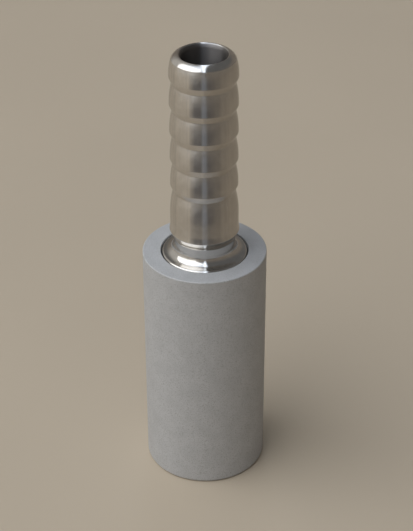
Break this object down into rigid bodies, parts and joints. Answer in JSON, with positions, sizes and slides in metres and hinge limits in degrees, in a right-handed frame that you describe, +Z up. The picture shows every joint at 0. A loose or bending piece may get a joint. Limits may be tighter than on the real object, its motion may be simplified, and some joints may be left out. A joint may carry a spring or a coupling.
{
  "type": "air stone",
  "caption": "Cylindrical porous metal air stone: a sintered cup with a barbed hose stem pressed into its mouth, for diffusing air or gas into water.",
  "frame": {"origin": "centre of the cup's closed end, which the part stands on", "axes": "+Z up the common axis of cup and stem, from the closed end to the stem's mouth; X and Y are free because the part is round"},
  "size_m": [0.0126, 0.0126, 0.0476],
  "materials": {
    "sintered_steel": "matte, fine-grained sintered stainless powder",
    "turned_steel": "turned and polished stainless, fine marks round the axis"
  },
  "bodies": {
    "root": {"porous_cup": "sintered_steel", "barbed_stem": "turned_steel"}
  },
  "joints": []
}
